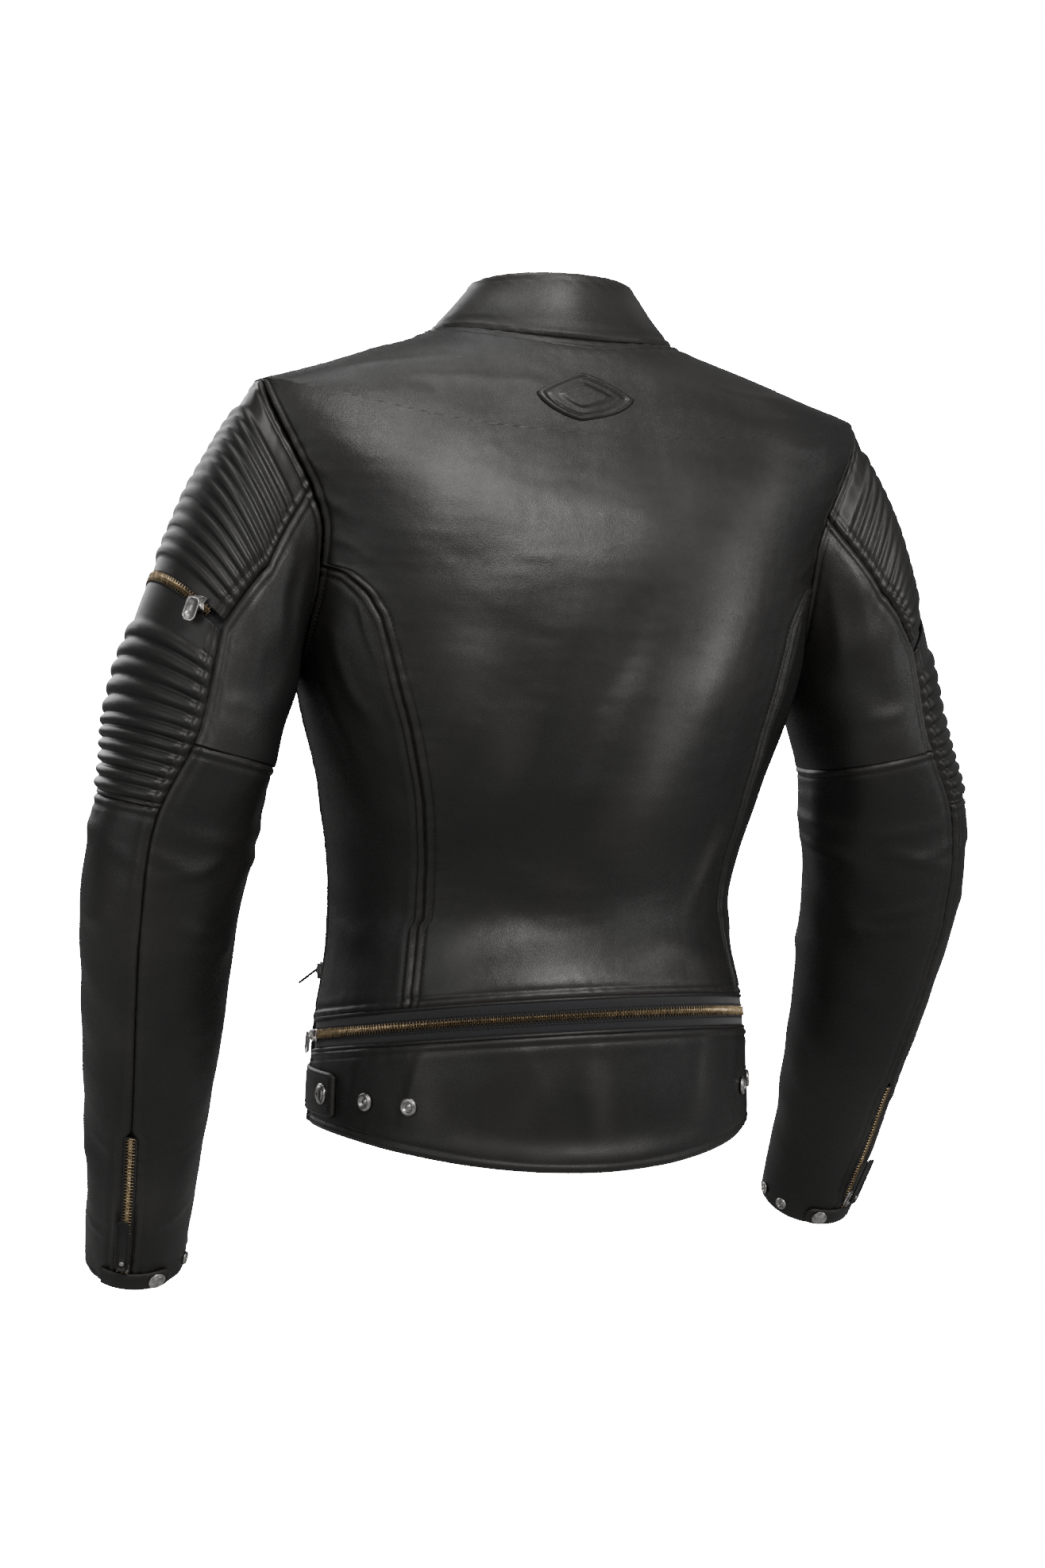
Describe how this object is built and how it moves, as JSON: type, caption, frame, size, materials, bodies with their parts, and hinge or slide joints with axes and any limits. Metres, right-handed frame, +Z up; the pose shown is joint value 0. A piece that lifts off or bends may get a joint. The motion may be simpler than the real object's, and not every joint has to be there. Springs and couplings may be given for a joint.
{
  "type": "leather riding jacket",
  "caption": "Fitted leather riding jacket with a stand collar, ribbed shoulder and elbow panels, a zip round the waist, zipped cuffs and snap straps, held by its hanger loop.",
  "frame": {"origin": "where the hook bears on the underside of the hanger loop, in the middle of the loop", "axes": "+Z up the wearer's back, +X towards the wearer's left hand, +Y out of the wearer's back"},
  "size_m": [0.6934, 0.2731, 0.7375],
  "materials": {
    "black_leather": "soft satin with wrinkles",
    "ribbed_leather": "padded ribs, satin",
    "armour_foam": "matt moulded foam",
    "lining_cloth": "woven, matt",
    "brass_teeth": "aged, satin",
    "antique_silver": "aged, satin"
  },
  "bodies": {
    "torso": {"back_panel": "black_leather", "left_side_panel": "black_leather", "right_side_panel": "black_leather", "left_front_panel": "black_leather", "right_front_panel": "black_leather", "hem_panel": "black_leather", "collar": "black_leather", "torso_lining": "lining_cloth", "back_armour": "armour_foam", "hanger_loop": "lining_cloth", "waist_zip_chain": "brass_teeth", "front_zip_chain": "brass_teeth", "left_pocket_zip_chain": "brass_teeth", "right_pocket_zip_chain": "brass_teeth", "left_waist_stud_outer": "antique_silver", "left_waist_stud_inner": "antique_silver", "right_waist_stud_outer": "antique_silver", "right_waist_stud_inner": "antique_silver"},
    "left_upper_sleeve": {"left_shoulder_rib_panel": "ribbed_leather", "left_elbow_rib_panel": "ribbed_leather", "left_upper_sleeve_panel": "black_leather", "left_shoulder_armour": "armour_foam", "left_sleeve_pocket_zip_chain": "brass_teeth"},
    "left_forearm": {"left_forearm_panel": "black_leather", "left_elbow_armour": "armour_foam", "left_cuff_zip_chain": "brass_teeth", "left_cuff_stud_outer": "antique_silver", "left_cuff_stud_inner": "antique_silver"},
    "left_cuff_zip_slider": {"left_cuff_zip_slider": "antique_silver"},
    "left_cuff_zip_pull": {"left_cuff_zip_pull": "black_leather"},
    "left_cuff_strap": {"left_cuff_strap": "black_leather", "left_cuff_snap": "antique_silver"},
    "left_waist_strap": {"left_waist_strap": "black_leather", "left_waist_snap": "antique_silver"},
    "left_pocket_zip_slider": {"left_pocket_zip_slider": "antique_silver"},
    "left_pocket_zip_pull": {"left_pocket_zip_pull": "black_leather"},
    "right_upper_sleeve": {"right_shoulder_rib_panel": "ribbed_leather", "right_elbow_rib_panel": "ribbed_leather", "right_upper_sleeve_panel": "black_leather", "right_shoulder_armour": "armour_foam"},
    "right_forearm": {"right_forearm_panel": "black_leather", "right_elbow_armour": "armour_foam", "right_cuff_zip_chain": "brass_teeth", "right_cuff_stud_outer": "antique_silver", "right_cuff_stud_inner": "antique_silver"},
    "right_cuff_zip_slider": {"right_cuff_zip_slider": "antique_silver"},
    "right_cuff_zip_pull": {"right_cuff_zip_pull": "black_leather"},
    "right_cuff_strap": {"right_cuff_strap": "black_leather", "right_cuff_snap": "antique_silver"},
    "right_waist_strap": {"right_waist_strap": "black_leather", "right_waist_snap": "antique_silver"},
    "right_pocket_zip_slider": {"right_pocket_zip_slider": "antique_silver"},
    "right_pocket_zip_pull": {"right_pocket_zip_pull": "black_leather"},
    "waist_zip_slider": {"waist_zip_slider": "antique_silver"},
    "waist_zip_pull": {"waist_zip_pull": "antique_silver"},
    "front_zip_slider": {"front_zip_slider": "antique_silver"},
    "front_zip_pull": {"front_zip_pull": "antique_silver"},
    "left_sleeve_pocket_zip_slider": {"left_sleeve_pocket_zip_slider": "antique_silver"},
    "left_sleeve_pocket_zip_pull": {"left_sleeve_pocket_zip_pull": "antique_silver"}
  },
  "joints": [
    {"name": "left_shoulder", "type": "hinge", "parent": "torso", "child": "left_upper_sleeve", "pos_m": [0.232, -0.01718, -0.053], "axis": [0, -1, 0], "range_deg": [0, 40]},
    {"name": "left_elbow", "type": "hinge", "parent": "left_upper_sleeve", "child": "left_forearm", "pos_m": [0.28836, -0.07218, -0.38782], "axis": [-0.9956, 0, -0.0939], "range_deg": [0, 45]},
    {"name": "left_cuff_zip_travel", "type": "slide", "parent": "left_forearm", "child": "left_cuff_zip_slider", "axis": [0.0492, 0.4977, 0.8659], "range_m": [0, 0.0668]},
    {"name": "left_cuff_zip_pull_swing", "type": "hinge", "parent": "left_cuff_zip_slider", "child": "left_cuff_zip_pull", "pos_m": [0.30499, -0.12212, -0.67809], "axis": [-0.918, 0.37, -0.143], "range_deg": [0, 160]},
    {"name": "left_cuff_strap_peel", "type": "hinge", "parent": "left_forearm", "child": "left_cuff_strap", "pos_m": [0.31438, -0.14456, -0.68578], "axis": [-0.126, -0.4859, -0.8649], "range_deg": [0, 100]},
    {"name": "left_waist_strap_peel", "type": "hinge", "parent": "torso", "child": "left_waist_strap", "pos_m": [0.15668, -0.13775, -0.55398], "axis": [0.0691, -0.0103, -0.9976], "range_deg": [0, 50]},
    {"name": "left_pocket_zip_travel", "type": "slide", "parent": "torso", "child": "left_pocket_zip_slider", "axis": [0.006, 0.12, 0.9928], "range_m": [0, 0.08]},
    {"name": "left_pocket_zip_pull_swing", "type": "hinge", "parent": "left_pocket_zip_slider", "child": "left_pocket_zip_pull", "pos_m": [0.15356, -0.14357, -0.47072], "axis": [-0.5713, -0.8144, 0.102], "range_deg": [-45, 100]},
    {"name": "right_shoulder", "type": "hinge", "parent": "torso", "child": "right_upper_sleeve", "pos_m": [-0.232, -0.01718, -0.053], "axis": [0, 1, 0], "range_deg": [0, 40]},
    {"name": "right_elbow", "type": "hinge", "parent": "right_upper_sleeve", "child": "right_forearm", "pos_m": [-0.28836, -0.07218, -0.38782], "axis": [-0.9956, 0, 0.0939], "range_deg": [0, 45]},
    {"name": "right_cuff_zip_travel", "type": "slide", "parent": "right_forearm", "child": "right_cuff_zip_slider", "axis": [-0.0492, 0.4977, 0.8659], "range_m": [0, 0.0668]},
    {"name": "right_cuff_zip_pull_swing", "type": "hinge", "parent": "right_cuff_zip_slider", "child": "right_cuff_zip_pull", "pos_m": [-0.30499, -0.12212, -0.67809], "axis": [-0.918, -0.37, 0.143], "range_deg": [0, 160]},
    {"name": "right_cuff_strap_peel", "type": "hinge", "parent": "right_forearm", "child": "right_cuff_strap", "pos_m": [-0.31438, -0.14456, -0.68578], "axis": [-0.126, 0.4859, 0.8649], "range_deg": [0, 100]},
    {"name": "right_waist_strap_peel", "type": "hinge", "parent": "torso", "child": "right_waist_strap", "pos_m": [-0.15668, -0.13775, -0.55398], "axis": [0.0691, 0.0103, 0.9976], "range_deg": [0, 50]},
    {"name": "right_pocket_zip_travel", "type": "slide", "parent": "torso", "child": "right_pocket_zip_slider", "axis": [-0.006, 0.12, 0.9928], "range_m": [0, 0.08]},
    {"name": "right_pocket_zip_pull_swing", "type": "hinge", "parent": "right_pocket_zip_slider", "child": "right_pocket_zip_pull", "pos_m": [-0.15356, -0.14357, -0.47072], "axis": [-0.5713, 0.8144, -0.102], "range_deg": [-45, 100]},
    {"name": "waist_zip_travel", "type": "hinge", "parent": "torso", "child": "waist_zip_slider", "pos_m": [0, -0.10018, -0.514], "axis": [0, -0.1489, 0.9888], "range_deg": [0, 183]},
    {"name": "waist_zip_pull_swing", "type": "hinge", "parent": "waist_zip_slider", "child": "waist_zip_pull", "pos_m": [0.17152, -0.10308, -0.51395], "axis": [-0.059, -0.9981, 0.019], "range_deg": [0, 170]},
    {"name": "front_zip_travel", "type": "hinge", "parent": "torso", "child": "front_zip_slider", "pos_m": [0, 1.21815, -0.50638], "axis": [1, 0, 0], "range_deg": [0, 19.6]},
    {"name": "front_zip_pull_swing", "type": "hinge", "parent": "front_zip_slider", "child": "front_zip_pull", "pos_m": [0, -0.13168, -0.055], "axis": [-1, 0, 0], "range_deg": [0, 170]},
    {"name": "left_sleeve_pocket_zip_travel", "type": "hinge", "parent": "left_upper_sleeve", "child": "left_sleeve_pocket_zip_slider", "pos_m": [0.25462, -0.04215, -0.2406], "axis": [0.7521, 0, -0.6591], "range_deg": [0, 84]},
    {"name": "left_sleeve_pocket_zip_pull_swing", "type": "hinge", "parent": "left_sleeve_pocket_zip_slider", "child": "left_sleeve_pocket_zip_pull", "pos_m": [0.28543, 0.01913, -0.20915], "axis": [0.7101, -0.6511, 0.268], "range_deg": [0, 170]}
  ]
}
